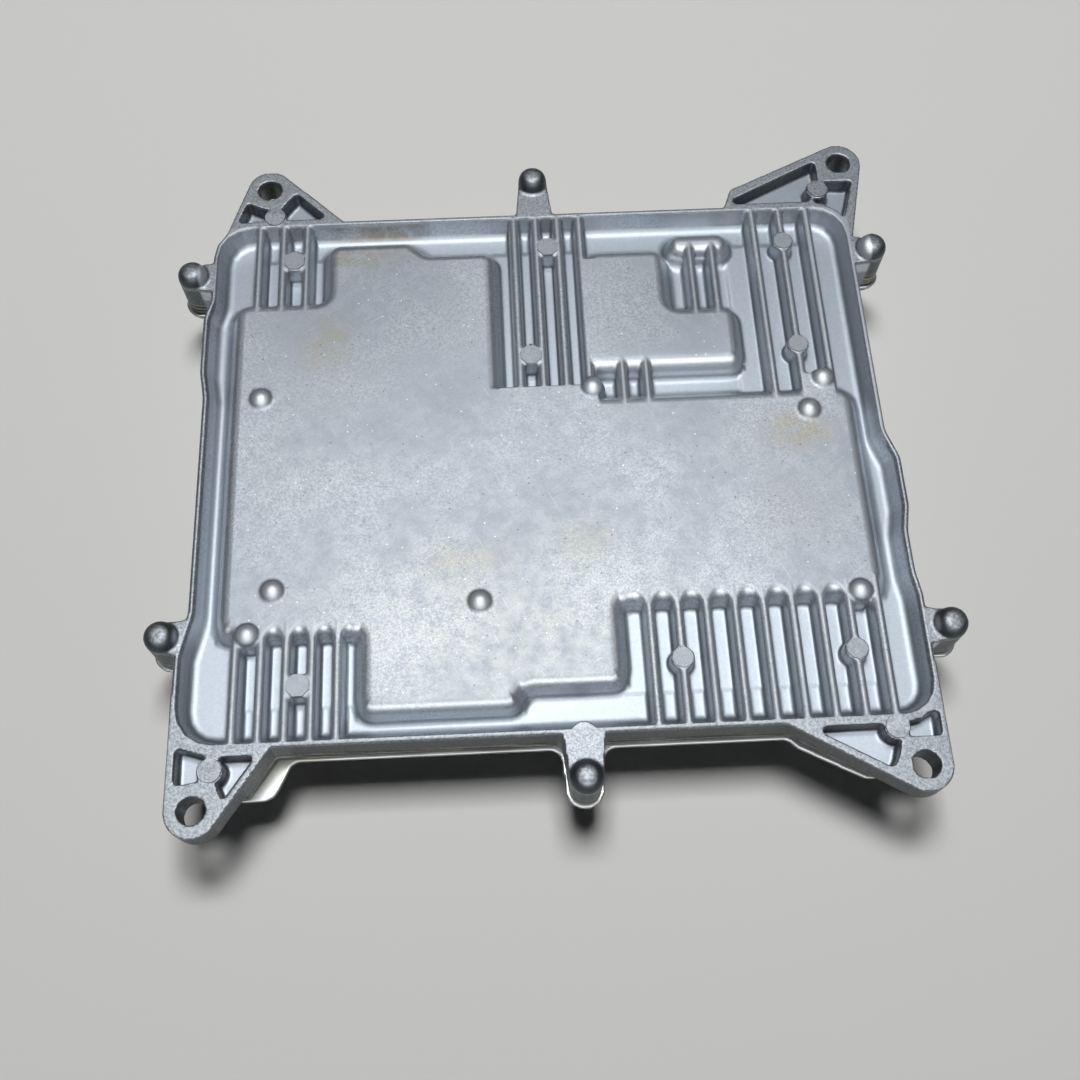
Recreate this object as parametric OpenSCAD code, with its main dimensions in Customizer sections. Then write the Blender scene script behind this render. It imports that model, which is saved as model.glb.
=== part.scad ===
// Engine control unit: die-cast heat sink housing over a sheet cover with a three-chamber plug header

/* [Housing] */
// Width of the housing over its side walls
body_w = 185.2; // [180:0.2:200]
// Depth of the housing over its front and back walls
body_d = 151.8; // [148:0.2:165]
// Height of the housing's side walls
rim_height = 12; // [11:0.5:15]
// Thickness of the rim at its top
rim_t = 1.8; // [1.5:0.1:2.4]
// Depth of the channels below the plateau
channel_depth = 6; // [5:0.5:6.5]
// Thickness of the casting over the hollow
skin_t = 2.6; // [2.3:0.1:3]
// Radius of the plateau's upper edge
edge_round = 2.8; // [1.4:0.1:2.9]
// Radius at the foot of the plateau's sides
foot_round = 2.2; // [1.2:0.1:2.3]
// How far the plateau's sides lean out on their way down
draft_run = 0.8; // [0.4:0.1:0.9]

/* [Ribs] */
// Width of a rib below its rounded top
rib_top = 2.3; // [1.8:0.1:2.5]
// Width of a rib above the fillet at its foot
rib_foot = 3; // [2.6:0.1:3.2]
// Spacing of the back left ribs
rib_pitch_back_left = 6.6; // [6:0.1:7]
// Spacing of the back middle ribs
rib_pitch_back_middle = 6.15; // [5.8:0.05:6.5]
// Spacing of the back right ribs
rib_pitch_back_right = 7.75; // [7:0.05:8]
// Spacing of the front left ribs
rib_pitch_front_left = 6.22; // [6:0.01:7]
// Spacing of the front right ribs
rib_pitch_front_right = 7.1; // [6.6:0.01:7.3]
// Diameter of the round ejector pads
pad_d = 6; // [5:0.2:6.4]
// Radius of the raised domes over the board screws
dome_r = 2.9; // [2.5:0.1:3.2]
// Height of the raised domes
dome_rise = 1.8; // [1:0.1:2.2]

/* [Lugs and pegs] */
// Thickness of the mounting lugs
lug_t = 8; // [7:0.5:10]
// Radius of the lug round its hole
lug_r = 6.5; // [6:0.1:7]
// Diameter of the mounting holes
hole_d = 6.6; // [5.5:0.1:7]
// Depth of the pockets that lighten the lugs
pocket_depth = 5; // [3:0.5:6]
// Diameter of the screw pegs
peg_d = 8; // [7.4:0.1:8.6]
// Height of the pegs above the rim
peg_rise = 3.6; // [3:0.1:4.5]
// Radius of the peg's upper edge
peg_round = 3; // [2:0.1:3.4]

/* [Cover] */
// Thickness of the cover sheet
sheet_t = 1.2; // [0.8:0.1:1.5]
// How far the cover is drawn down below its flange
pan_depth = 5; // [4.5:0.5:8]
// Width of the cover's flange
flange_w = 8; // [7:0.5:9]
// How far the flange stands out past the housing
flange_over = 0.6; // [0.3:0.1:1]
// Radius of the drawn part's corners
pan_round = 14; // [10:1:18]
// Width of the seal bead
seal_w = 1.6; // [1.2:0.1:2]
// Height of the seal bead
seal_h = 1; // [0.6:0.1:1.4]
// Thread diameter of the cover screws
cover_screw_d = 4; // [3.5:0.1:4.2]
// Head diameter of the cover screws
cover_head_d = 7.4; // [6.5:0.1:8]
// Height of the cover screws' heads
cover_head_h = 2.6; // [2:0.1:3]

/* [Plug header] */
// Length of one plug chamber
chamber_l = 38; // [34:0.5:42]
// Width of one plug chamber
chamber_w = 20; // [18:0.5:22]
// Thickness of the header's walls
header_wall = 2; // [1.6:0.1:2.4]
// How far the header stands out below the cover
header_reach = 9.8; // [9:0.1:14]
// How far the header's flange reaches past its walls
header_flange = 4; // [3:0.5:4.5]
// Thickness of the header's gasket
gasket_t = 0.8; // [0.5:0.1:1]
// Contact pins along a chamber
pin_cols = 8; // [6:1:9]
// Contact pins across a chamber
pin_rows = 4; // [3:1:4]
// Spacing of the pins along and across a chamber
pin_pitch = 4; // [3.4:0.1:4.2]
// Width of a pin
pin_w = 1; // [0.6:0.1:1.2]
// Thickness of a pin
pin_t = 0.8; // [0.5:0.1:1]
// How far the pin tips lie inside the mouth
pin_recess = 6; // [5:0.5:7]
// Diameter of the breather in the cover
vent_d = 11; // [9:0.5:13]

/* [Circuit board] */
// Thickness of the board
board_t = 1.6; // [1.2:0.1:1.7]
// Height of the board's upper face above the housing's lower face
board_seat = 1.8; // [1.7:0.1:2.2]
// How far the board stays inside the housing's sides
board_inset = 6.2; // [5.8:0.1:8]
// Thickness of the gap filler on the board
filler_t = 0.6; // [0.4:0.1:0.8]
// Diameter of the board's screw bosses
boss_d = 7; // [6:0.5:7.5]
// Thread diameter of the board screws
board_screw_d = 2.5; // [2:0.1:3]
// Head diameter of the board screws
board_head_d = 5.4; // [4.5:0.1:5.6]
// Height of the board screws' heads
board_head_h = 1.8; // [1.4:0.1:2.2]
// Side of the microcontroller
mcu_side = 26; // [22:1:28]
// Diameter of the buffer capacitors
cap_d = 9; // [8:0.5:10]
// Height of the buffer capacitors
cap_h = 6.4; // [5:0.2:6.6]

/* [Hidden] */
$fn = 48;
arc_steps = 4;
overlap = 0.5;
clearance = 0.1;

// Edges of the body; its middle lies a little left of the middle of the pegs
body_shift = -1;
left = body_shift - body_w / 2;
right = body_shift + body_w / 2;
front = -body_d / 2;
back = body_d / 2;

// Heights, counted from the mouth of the header
pan_low = header_reach;
pan_floor = pan_low + sheet_t;
flange_low = pan_low + pan_depth;
base = flange_low + sheet_t;
top = base + rim_height;
floor_z = top - channel_depth;
ceiling = floor_z - skin_t;
board_high = base + board_seat;
board_low = board_high - board_t;
bench_low = board_high + filler_t;

// Seat of the casting on the cover: the seal bead's distance from the side, and the whole width
seal_inset = 2;
seat_w = seal_inset + seal_w + 1.4;
seam_w = 0.5;
rim_chamfer = 0.6;
// Step where the two halves of the mould meet on the side
parting_z = base + 4;
parting_step = 0.2;
rim_bevel = 0.3;
rib_fillet = 0.8;
rib_crown = 0.8;
// How far ribs and webs run into a field, past its rounded edge
root_in = edge_round + 0.3;

// Corners [x, y, radius] of the body, with the waist of its sides, counter-clockwise from the front left
body_corners = [
    [left, front, 11], [right, front, 10],
    [right, front + 32, 12], [right - 0.9, front + 38, 12], [right - 0.9, front + 49, 9],
    [right + 0.5, front + 56, 9], [right + 0.5, front + 70, 8], [right - 2.2, front + 78, 9],
    [right - 2.2, back, 11], [left + 3.2, back, 11],
    [left + 3.2, back - 25, 9], [left + 1.5, back - 31, 9], [left + 1.5, back - 48, 9],
    [left + 2.7, back - 56, 9], [left + 2.7, front + 35, 9], [left, front + 24, 9]];

// Corners of the plateau and of the two islands at the back right
plateau_left = left + 10.3;
plateau_right = right - 9.3;
front_wing_left = left + 45.3;
front_wing_right = 15.8;
back_wing_left = left + 35.3;
front_step = front + 29.4;
front_right_step = front + 34.4;
back_left_step = back - 27;
back_right_step = back - 60.1;
middle_edge = -11.9;
plateau_corners = [
    [plateau_left, front_step, 4], [front_wing_left, front_step, 3.2], [front_wing_left, front + 8.6, 3.5],
    [-11.5, front + 8.6, 3.2], [-8, front + 13.3, 3.2], [front_wing_right, front + 13.3, 3.5],
    [front_wing_right, front_right_step, 3.2], [plateau_right, front_right_step, 3.5],
    [plateau_right, back_right_step, 4.5], [middle_edge, back_right_step, 3.2],
    [middle_edge, back - 12.3, 3.5], [-30.5, back - 12.3, 3.2], [-35.5, back - 7.9, 3.2],
    [back_wing_left, back - 7.9, 3.5], [back_wing_left, back_left_step, 3.2],
    [plateau_left, back_left_step, 4]];
island_left = 14.2;
island_notch = 35.7;
island_right = right - 37.6;
island_front = back - 50.5;
island_shelf = back - 33;
island_back = back - 13.3;
island_corners = [
    [island_left, island_front, 3.2], [island_right, island_front, 3.5], [island_right, island_shelf, 3.5],
    [island_notch, island_shelf, 3.2], [island_notch, island_back, 3.5], [island_left, island_back, 3.2]];
pod_left = island_notch + 1.9;
pod_front = back - 14.9;
pod_back = back - 8.6;
pod_corners = [
    [pod_left, pod_front, 3], [island_right, pod_front, 3],
    [island_right, pod_back, 3], [pod_left, pod_back, 3]];

// Ribs [x, front end, back end], which run into the plateau and the rim
rim_inside = rim_t / 2;
function rib_row(x, pitch, count, y0, y1) = [for (i = [0 : count - 1]) [x + i * pitch, y0, y1]];
back_left_ribs = rib_row(left + 16.2, rib_pitch_back_left, 3, back_left_step - root_in, back - rim_inside);
back_middle_ribs = rib_row(-6, rib_pitch_back_middle, 4, back_right_step - root_in, back - rim_inside);
back_right_ribs = rib_row(right - 29.8, rib_pitch_back_right, 3, back_right_step - root_in, back - rim_inside);
front_left_ribs = rib_row(left + 15, rib_pitch_front_left, 5, front + rim_inside, front_step + root_in);
front_right_ribs = rib_row(23, rib_pitch_front_right, 9, front + rim_inside, front_right_step + root_in);
shelf_ribs = [for (x = [pod_left + 5.4, pod_left + 11.6]) [x, island_shelf - root_in, pod_front + root_in]];
strip_ribs = [for (x = [21.4, 27.8]) [x, back_right_step - root_in, island_front + root_in]];
all_ribs = concat(back_left_ribs, back_middle_ribs, back_right_ribs, front_left_ribs, front_right_ribs,
    shelf_ribs, strip_ribs);

// Floors between the ribs [x0, y0, x1, y1], a small step above the troughs along the rim
floor_step = 0.3;
step_front = front + 11.1;
step_back = back - 10.1;
rib_floors = [
    [back_left_ribs[0].x, back_left_step, back_wing_left, step_back],
    [middle_edge, back_right_step, island_left, step_back],
    [island_right, back_right_step, back_right_ribs[2].x, step_back],
    [front_left_ribs[0].x, step_front, front_wing_left, front_step],
    [front_wing_right, step_front, front_right_ribs[8].x, front_right_step]];

// Webs [x0, y0, x1, y1] that close the ends of channels
webs = [
    [middle_edge, back_right_step - root_in, island_left + overlap, back_right_step + 3.5],
    [back_right_ribs[1].x, back_right_step - root_in, back_right_ribs[2].x, back_right_step + 4.4],
    [back_middle_ribs[3].x, island_front + edge_round, island_left + root_in, island_back - edge_round]];

// Ejector pads between and on the ribs
round_pads = [[back_right_ribs[1].x, back - 12.8], [back_right_ribs[1].x, back - 46.6],
    [front_right_ribs[1].x, front + 17.9], [front_right_ribs[7].x, front + 18.2]];
bridge_pads = [
    [(back_left_ribs[1].x + back_left_ribs[2].x) / 2, back - 13.6, rib_pitch_back_left],
    [(back_middle_ribs[1].x + back_middle_ribs[2].x) / 2, back - 11.9, rib_pitch_back_middle],
    [(back_middle_ribs[0].x + back_middle_ribs[1].x) / 2, back - 46.9, rib_pitch_back_middle],
    [(front_left_ribs[2].x + front_left_ribs[3].x) / 2, front + 15.1, rib_pitch_front_left]];
pad_sides = 8;

// Places of the board screws, each under a dome, and one more dome without a screw
middle_screw_y = back_right_step + 2.5;
board_screw_places = [
    [left + 18.6, back - 57.4], [left + 23.6, front + 39.6], [-18.7, front + 34.6],
    [13, middle_screw_y], [right - 16.8, back_right_step + 2.7],
    [left + 17.8, front_step - 1], [right - 15.8, front_right_step - 1.1]];
domes = concat(board_screw_places, [[right - 21.8, back_right_step - 6.8]]);
dome_ball = (dome_r * dome_r + dome_rise * dome_rise) / (2 * dome_rise);

// Pegs [x, y, direction of the body]
pegs = [
    [left - 3.05, front + 28.6, [1, 0]], [left - 1.7, back - 17.8, [1, 0]],
    [right + 5.05, front + 23.5, [-1, 0]], [right + 2.4, back - 16.6, [-1, 0]],
    [0, back + 10.6, [0, -1]], [5, front - 10.4, [0, 1]]];
peg_reach = 14;
peg_flare = 1.5;

// Lugs [hole, end of one side on the body, end of the other, further corners]
back_left_hole = [left + 18.4, back + 11.2];
back_right_hole = [right - 2.5, back + 13.8];
front_left_hole = [left + 6.8, front - 13.8];
front_right_hole = [right - 6.7, front - 10.8];
lugs = [
    [back_left_hole, [left + 3.3, back - 14], [left + 39.6, back - 0.4], []],
    [back_right_hole, [right - 35, back + 5.7], [right - 2.3, back - 14], [[right - 37.4, back - 0.6]]],
    [front_left_hole, [left + 24.8, front + 0.6], [left + 0.2, front + 14], []],
    [front_right_hole, [right - 0.1, front + 14], [right - 38.6, front + 0.6], []]];
lug_dip = 0.03;

// Full-height roots of the lugs, which the cover follows
lug_roots = [
    [[left + 14, back - 20, 2], [left + 34, back - 20, 2], [left + 30, back + 6, 4], [left + 16, back + 6, 4]],
    [[right - 34, back - 20, 2], [right - 6, back - 20, 2],
        [right - 6, back + 6, 4], [right - 22, back + 6, 4]],
    [[left + 8, front + 20, 2], [left + 13, front - 9.6, 4],
        [left + 23, front - 9.2, 4], [left + 27.6, front, 3]],
    [[right - 38, front, 3], [right - 16.5, front - 11.4, 4],
        [right - 9, front - 6, 4], [right - 8, front + 20, 2]]];

// Pockets [corners] and the level pads that stand in them; the last pad backs the front peg at the rim
pocket_round = 0.9;
pockets = [
    [[left + 9.8, back + 0.4], [left + 19, back + 0.4], [left + 19, back + 4.6],
        [left + 13.7, back + 6.2], [left + 12.3, back + 7.4]],
    [[left + 21.5, back + 0.8], [left + 35, back + 0.8], [left + 26, back + 9.9],
        [left + 24, back + 7.5], [left + 21.5, back + 4]],
    [[right - 35.5, back + 0.8], [right - 13, back + 0.8], [right - 10.5, back + 4],
        [right - 9.2, back + 9.6], [right - 9.4, back + 14.9], [right - 33.8, back + 2.8]],
    [[right - 3.6, back - 6], [right + 0.5, back + 7.5],
        [right - 7.5, back + 7.5], [right - 11.5, back + 0.8]],
    [[left + 2.4, front - 7.8], [left + 9.5, front - 6.8],
        [left + 9.5, front - 1.2], [left + 2.3, front + 1.2]],
    [[left + 12, front - 7.5], [left + 13.6, front - 11.3], [left + 15.2, front - 11.3],
        [left + 20.4, front - 5.6], [left + 20.4, front - 1.5], [left + 12, front - 1.5]],
    [[right - 32.4, front - 0.9], [right - 14.6, front - 11.2], [right - 13, front - 9],
        [right - 11.8, front - 5], [right - 12.5, front - 0.7]],
    [[right - 10.5, front - 4], [right - 2, front - 4.1],
        [right - 1.7, front + 2.4], [right - 10.5, front - 1]]];
lug_pads = [
    [left + 20.2, back + 1.6], [right - 9.9, back + 4.8], [left + 10.6, front - 4.7],
    [right - 12.2, front - 1.6], [5, front + 0.2]];
lug_pad_r = 3.2;

// Drawn part of the cover, stiffening beads in its floor and the breather
pan_corners = [
    [left + flange_w, front + flange_w, pan_round], [right - flange_w, front + flange_w, pan_round],
    [right - flange_w, back - flange_w, pan_round], [left + flange_w, back - flange_w, pan_round]];
draw_edge = 3.2;
ear_over = 0.2;
flange_blend = 3;
draw_lean = 1;
bead_w = 6;
bead_rise = 1;
bead_l = 60;
bead_side = 22;
bead_lines = [for (x = [left + bead_side, right - bead_side - bead_l], y = [front + 30, back - 30]) [x, y]];
vent_place = [right - 28, back - 48];
vent_stem_d = vent_d - 3;
vent_cap_t = 1.2;
hole_spare = 0.5;
head_chamfer = 0.8;
socket_part = 0.48;
cover_socket = 1.6;
board_socket = 1;
screw_end = 2.5;

// Header, which keeps clear of the middle board screw
header_l = 3 * chamber_l + 4 * header_wall;
header_w = chamber_w + 2 * header_wall;
header_room = 2.6;
header_place = [0, middle_screw_y - board_head_d / 2 - header_room - header_flange - header_w / 2];
header_round = 2;
key_w = 1.6;
key_t = 0.6;
key_low = 2;
key_places = [7, 9, 11];
chamber_top = pan_floor + 2.4;
chamber_pitch = chamber_l + header_wall;
pin_top = board_high + 1.2;

// Benches under the ribbed channels [x0, y0, x1, y1], which the gap filler joins to the board
bench_edge = 6.4;
benches = [
    [left + 13, back_left_step + 2, left + 34, back - bench_edge],
    [-8.5, back_right_step + 8.5, 13.5, back - bench_edge],
    [right - 32, back_right_step + 8.5, right - 12, back - bench_edge],
    [left + 13, front + bench_edge, left + 43, front_step - 5.5],
    [18, front + bench_edge, right - 10, front_right_step - 5.5]];
filler_inset = 1;

// Places of the devices on the board
mcu_place = [(back_wing_left + middle_edge) / 2, back - 40];
mcu_h = 2;
lead_count = 11;
lead_reach = 2;
lead_w = 0.6;
lead_t = 0.4;
flash_size = [10, 14, 1.4];
flash_reach = mcu_side / 2 + 12;
crystal_size = [11, 4.6, 3.4];
crystal_reach = mcu_side / 2 + 6;
supply_size = [13, 13, 3];
supply_place = [(island_left + island_notch) / 2, back - 24];
inductor_size = [11, 11, 5.6];
inductor_place = [island_right - skin_t - inductor_size.x / 2 - 2.9, (island_front + island_shelf) / 2];
choke_size = [9, 9, 5];
function across_wing(part) = front_wing_left + part * (front_wing_right - front_wing_left);
choke_place = [across_wing(0.86), front + 25];
cap_places = [
    [across_wing(0.16), front + 19.4], [across_wing(0.35), front + 19.4], [across_wing(0.66), front + 22]];
driver_size = [11, 13, 3.2];
injector_count = 4;
injector_first = [front_wing_right + 6.2, front + 17.9];
injector_pitch = (right - 21.6 - injector_first.x) / (injector_count - 1);
ignition_size = [6.6, 9, 2.4];
ignition_columns = [back_middle_ribs[0].x + 3.5, back_middle_ribs[3].x - 5];
ignition_rows = [back - 44, back - 32, back - 20];
throttle_size = [13, 16, 3.2];
throttle_place = [right - 22, back - 30];
valve_driver_places = [[left + 23.5, back - 18], [left + 28, front + 18]];
transceiver_size = [5, 4, 1.6];
transceiver_count = 3;
transceiver_first = [left + 36, front + 47];
transceiver_pitch = 9;
sensor_size = [7, 7, 3];
sensor_place = [right - 30, front + 52];
ceramic_size = [1.6, 2.4, 1.2];
ceramic_count = 8;
ceramic_pitch = 3.2;

function unit(v) = v / norm(v);
function outward(u) = [u.y, -u.x];
function spin(v, a) = [v.x * cos(a) - v.y * sin(a), v.x * sin(a) + v.y * cos(a)];
function bend_of(u, v) = atan2(cross(u, v), u * v);
function flat(p) = [p.x, p.y];

// Round stretch at corner b of an outline that is moved outwards by grow
function corner_arc(a, b, c, grow) =
    let (
        u = unit(flat(b) - flat(a)),
        v = unit(flat(c) - flat(b)),
        bend = bend_of(u, v),
        side = bend < 0 ? -1 : 1,
        r = max(b[2] + side * grow, 0.2),
        n = outward(u),
        m = outward(v),
        tip = flat(b) + grow * (n + m) / (1 + n * m),
        mid = tip - u * r * tan(abs(bend) / 2) - side * r * n)
    [for (k = [0 : arc_steps]) mid + side * r * spin(n, bend * k / arc_steps)];

// Points of a closed outline with round corners
function outline(corners, grow = 0) =
    let (last = len(corners) - 1)
    [for (i = [0 : last])
        each corner_arc(corners[i == 0 ? last : i - 1], corners[i], corners[i == last ? 0 : i + 1], grow)];

// Point where a line from p touches the circle of radius r round c
function touch(p, c, r, way) = c + r * spin(unit(p - c), way * acos(r / norm(p - c)));

// Section of a drafted side from its foot to its rounded upper edge, as [grow, z]
function side_section(low) = [
    [draft_run + foot_round, low], [draft_run + foot_round, floor_z],
    for (a = [30, 60, 90]) [draft_run + foot_round * (1 - sin(a)), floor_z + foot_round * (1 - cos(a))],
    for (a = [0 : 22.5 : 90]) [edge_round * (cos(a) - 1), top + edge_round * (sin(a) - 1)]];

// Wall swept round an outline; section is a closed loop of [grow, z]
module swept_wall(corners, section) {
    rings = [for (p = section) [for (q = outline(corners, p[0])) [q.x, q.y, p[1]]]];
    n = len(rings[0]);
    m = len(section);
    polyhedron(
        points = [for (ring = rings) each ring],
        faces = [for (i = [0 : m - 1], j = [0 : n - 1])
            let (above = (i + 1) % m, next = (j + 1) % n)
            [i * n + j, above * n + j, above * n + next, i * n + next]]);
}

// Block with drafted sides on a convex outline; section runs from the foot up
module drafted_block(corners, section) {
    rings = [for (p = section) [for (q = outline(corners, p[0])) [q.x, q.y, p[1]]]];
    n = len(rings[0]);
    m = len(section);
    polyhedron(
        points = [for (ring = rings) each ring],
        faces = concat(
            [[for (j = [0 : n - 1]) j]],
            [[for (j = [n - 1 : -1 : 0]) (m - 1) * n + j]],
            [for (i = [0 : m - 2], j = [0 : n - 1])
                let (next = (j + 1) % n)
                [i * n + j, (i + 1) * n + j, (i + 1) * n + next, i * n + next]]));
}

// Leaning side of the drawn part, from its rounded upper edge down to the floor
function draw_section(high, low, out) = [
    [out + draw_lean, high], [out, high - draw_lean / 2], [out - draw_lean, low + draw_lean / 2],
    [out - draw_lean * 2, low]];
function reversed(list) = [for (i = [len(list) - 1 : -1 : 0]) list[i]];

module prism(low, high) {
    translate([0, 0, low]) linear_extrude(high - low) children();
}

module block(x0, y0, x1, y1, low, high) {
    translate([x0, y0, low]) cube([x1 - x0, y1 - y0, high - low]);
}

// Flat part on the board, standing up from it or hanging below it
module chip(place, size, below = false) {
    translate([place.x - size.x / 2, place.y - size.y / 2, below ? board_low - size.z : board_high]) cube(size);
}

// Raised field with drafted sides on an outline with inward corners
module raised_field(corners) {
    ring_t = edge_round + 1;
    low = ceiling + overlap;
    swept_wall(corners, concat(side_section(low), [[-ring_t, top], [-ring_t, low]]));
    prism(low, top) polygon(outline(corners, overlap - ring_t));
}

module rim_wall() {
    inner = -rim_t - draft_run;
    swept_wall(body_corners, [
        [-seam_w, base], [0, base + seam_w], [0, parting_z - parting_step], [-parting_step, parting_z],
        [-parting_step, top - rim_chamfer], [-rim_chamfer, top], [rim_bevel - rim_t, top],
        [-rim_t, top - rim_bevel], [inner, floor_z + foot_round],
        for (a = [30, 60, 90]) [inner - foot_round * (1 - cos(a)), floor_z + foot_round * (1 - sin(a))],
        [-seat_w - 1, floor_z], [-seat_w - 1, ceiling], [-seat_w, ceiling], [-seat_w, base]]);
}

// Rib with fillets at its foot and a rounded top
module rib(r) {
    half = concat(
        [[rib_foot / 2 + rib_fillet, floor_z - overlap]],
        [for (a = [0, 40, 80]) [rib_foot / 2 + rib_fillet * (1 - sin(a)), floor_z + rib_fillet * (1 - cos(a))]],
        [for (a = [0, 45, 90]) [rib_top / 2 - rib_crown * (1 - cos(a)), top - rib_crown * (1 - sin(a))]]);
    translate([r.x, r[2], 0]) rotate([90, 0, 0]) linear_extrude(r[2] - r[1])
        polygon(concat(half, [for (p = reversed(half)) [-p.x, p.y]]));
}

module channel_floor() {
    prism(ceiling, floor_z) polygon(outline(body_corners, -seat_w - overlap));
}

// Fields at the top level, with the webs and the floors between the ribs
module fields() {
    raised_field(plateau_corners);
    raised_field(island_corners);
    drafted_block(pod_corners, side_section(ceiling + overlap));
    for (w = webs) block(w[0], w[1], w[2], w[3], floor_z - overlap, top);
    for (f = rib_floors) block(f[0], f[1], f[2], f[3], floor_z - overlap, floor_z + floor_step);
}

module ejector_pads() {
    for (p = round_pads) translate([p.x, p.y, floor_z - overlap])
        cylinder(d = pad_d, h = channel_depth + overlap);
    for (p = bridge_pads) translate([p.x, p.y, floor_z - overlap]) rotate(180 / pad_sides)
        cylinder(d = p[2] / cos(180 / pad_sides), h = channel_depth + overlap, $fn = pad_sides);
}

module dome_caps() {
    for (p = domes) translate([p.x, p.y, top + dome_rise - dome_ball]) sphere(dome_ball);
}

module outside_rim() {
    difference() {
        children();
        polygon(outline(body_corners, -rim_inside));
    }
}

// The straight sides run just inside the round end, so that they cross it cleanly
module lug_shape(lug) {
    hole = lug[0];
    reach = lug_r - lug_dip;
    outside_rim() {
        translate(hole) circle(lug_r);
        polygon(concat(
            [touch(lug[1], hole, reach, -1), lug[1]], lug[3],
            [[body_shift + sign(hole.x) * body_w / 4, sign(hole.y) * body_d / 4], lug[2],
                touch(lug[2], hole, reach, 1)]));
    }
}

module lug_bodies() {
    for (i = [0 : len(lugs) - 1]) {
        prism(top - lug_t, top) lug_shape(lugs[i]);
        prism(base, top) intersection() {
            lug_shape(lugs[i]);
            polygon(outline(lug_roots[i]));
        }
    }
}

module lug_pockets() {
    prism(top - pocket_depth, top + 1) difference() {
        for (p = pockets) polygon(outline([for (q = p) [q.x, q.y, pocket_round]]));
        polygon(outline(body_corners, overlap));
        for (l = lugs) translate(l[0]) circle(lug_r);
        for (p = lug_pads) translate(p) circle(lug_pad_r);
    }
}

module peg_bridge(peg) {
    way = peg[2];
    across = [way.y, -way.x];
    start = flat(peg);
    finish = start + peg_reach * way;
    wide = peg_d / 2 + peg_flare;
    polygon([start + across * peg_d / 2, finish + across * wide,
        finish - across * wide, start - across * peg_d / 2]);
}

module peg_bodies() {
    high = rim_height + peg_rise;
    for (p = pegs) {
        translate([p.x, p.y, base]) rotate_extrude() intersection() {
            union() {
                square([peg_d / 2, high - peg_round]);
                square([peg_d / 2 - peg_round, high]);
                translate([peg_d / 2 - peg_round, high - peg_round]) circle(peg_round);
            }
            square([peg_d / 2, high]);
        }
        prism(base, top) outside_rim() peg_bridge(p);
    }
    translate([lug_pads[4].x, lug_pads[4].y, floor_z - overlap])
        cylinder(r = lug_pad_r, h = channel_depth + overlap);
}

// Room inside the casting: below the channel floors, and higher under the plateau and the island
module hollow() {
    prism(base - 1, ceiling) polygon(outline(body_corners, -seat_w));
    prism(base - 1, top - skin_t) {
        polygon(outline(plateau_corners, -skin_t));
        polygon(outline(island_corners, -skin_t));
    }
}

module seal_ring(low, high) {
    prism(low, high) difference() {
        polygon(outline(body_corners, -seal_inset));
        polygon(outline(body_corners, -seal_inset - seal_w));
    }
}

module heat_sink_housing() color("#b3b7bb") difference() {
    union() {
        difference() {
            union() {
                rim_wall();
                channel_floor();
                fields();
                for (r = all_ribs) rib(r);
                ejector_pads();
                dome_caps();
                lug_bodies();
                peg_bodies();
            }
            hollow();
        }
        for (b = benches) block(b[0], b[1], b[2], b[3], bench_low, ceiling + overlap);
        for (p = board_screw_places) translate([p.x, p.y, board_high])
            cylinder(d = boss_d, h = top - skin_t / 2 - board_high);
    }
    seal_ring(base - overlap, base + seal_h);
    lug_pockets();
    for (l = lugs) translate([l[0].x, l[0].y, base - 1]) cylinder(d = hole_d, h = rim_height + 2);
    for (p = pegs) translate([p.x, p.y, base - 1]) cylinder(d = cover_screw_d, h = rim_height);
    for (p = board_screw_places) translate([p.x, p.y, board_high - 1])
        cylinder(d = board_screw_d, h = top - board_high);
}

module cover_flange_shape() {
    offset(r = -flange_blend) offset(r = flange_blend + flange_over) {
        polygon(outline(body_corners));
        for (p = pegs) {
            translate(flat(p)) circle(r = peg_d / 2 + ear_over);
            peg_bridge(p);
        }
        for (r = lug_roots) polygon(outline(r));
    }
}

// Pressed bead, a long low ridge below the cover's floor
module bead(place, high) {
    half = bead_w / 2;
    end_r = half - clearance;
    drafted_block(
        [[place.x, place.y - half, end_r], [place.x + bead_l, place.y - half, end_r],
            [place.x + bead_l, place.y + half, end_r], [place.x, place.y + half, end_r]],
        [[-half / 2, high - bead_rise], [-half / 5, high - bead_rise * 0.7], [0, high], [0, high + overlap]]);
}

module sheet_cover() color("#c9ccce") difference() {
    union() {
        prism(flange_low, base) difference() {
            cover_flange_shape();
            polygon(outline(pan_corners, draw_edge));
        }
        swept_wall(pan_corners, concat(
            [[draw_edge + overlap, flange_low], [draw_edge + overlap, base]],
            draw_section(base, pan_floor, 0),
            [[-draw_edge, pan_floor], [-draw_edge, pan_low]],
            reversed(draw_section(flange_low, pan_low, sheet_t * 0.8))));
        prism(pan_low, pan_floor) polygon(outline(pan_corners, overlap - draw_edge));
        for (b = bead_lines) bead(b, pan_low);
    }
    for (b = bead_lines) bead(b, pan_floor);
    translate([header_place.x, header_place.y, pan_low - 1])
        prism(0, sheet_t + 2) polygon(outline(header_corners(clearance)));
    for (p = pegs) translate([p.x, p.y, flange_low - 1])
        cylinder(d = cover_screw_d + hole_spare, h = sheet_t + 2);
    translate([vent_place.x, vent_place.y, pan_low - 1]) cylinder(d = vent_stem_d, h = sheet_t + 2);
}

module cover_seal() color("#3a3d3f") seal_ring(base, base + seal_h);

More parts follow.
